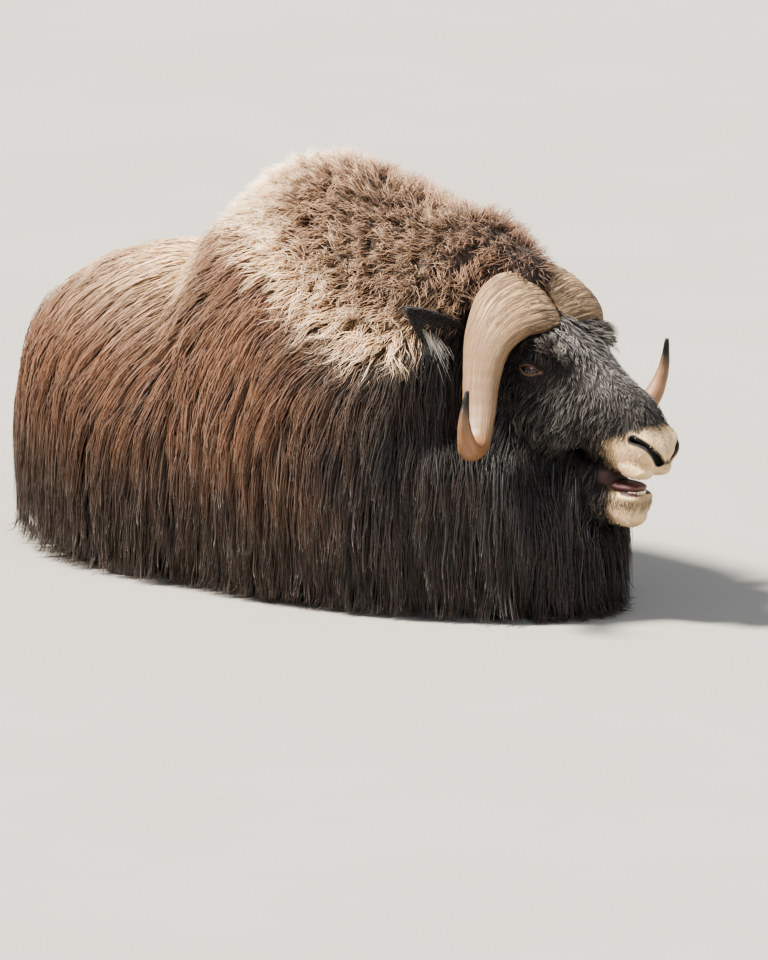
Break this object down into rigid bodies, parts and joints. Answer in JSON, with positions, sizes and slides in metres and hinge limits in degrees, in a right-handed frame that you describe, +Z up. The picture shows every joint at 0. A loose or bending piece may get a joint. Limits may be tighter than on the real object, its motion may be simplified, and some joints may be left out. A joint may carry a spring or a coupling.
{
  "type": "muskox",
  "caption": "Life-size adult muskox lying with folded legs, head up, long hanging coat, humped shoulders and down-curved horns.",
  "frame": {"origin": "centre of the bounding box's underside, on the ground between the shoulders and the rump", "axes": "+Z up from the ground, -Y the way the animal faces, -X towards the animal's right side"},
  "size_m": [0.8274, 1.7802, 0.9187],
  "materials": {
    "coat_hump": "curly wool, cream at the fringe",
    "coat_flank": "long hanging guard hair",
    "coat_neck": "near black beard and ruff",
    "coat_rump": "long hanging guard hair",
    "face": "short dark fur, silver on the brow, cream at the muzzle",
    "muzzle": "short cream fur and dark lip line",
    "ear": "short dark fur, pale inside",
    "horn": "cracked boss, smooth shaft, black tip",
    "hoof": "worn horn",
    "leg": "short pale fur",
    "eye": "wet dark brown",
    "tongue": "moist skin",
    "tail": "short dark hair"
  },
  "bodies": {
    "root": {"shoulders": "coat_hump", "torso": "coat_flank", "neck": "coat_neck", "throat": "coat_neck", "rump": "coat_rump", "head": "face", "lower_jaw": "muzzle", "tongue": "tongue", "tail": "tail", "ear_right": "ear", "horn_right": "horn", "eye_right": "eye", "foreleg_right": "leg", "hindleg_right": "leg", "hoof_fore_right": "hoof", "hoof_hind_right": "hoof", "ear_left": "ear", "horn_left": "horn", "eye_left": "eye", "foreleg_left": "leg", "hindleg_left": "leg", "hoof_fore_left": "hoof", "hoof_hind_left": "hoof"}
  },
  "joints": []
}
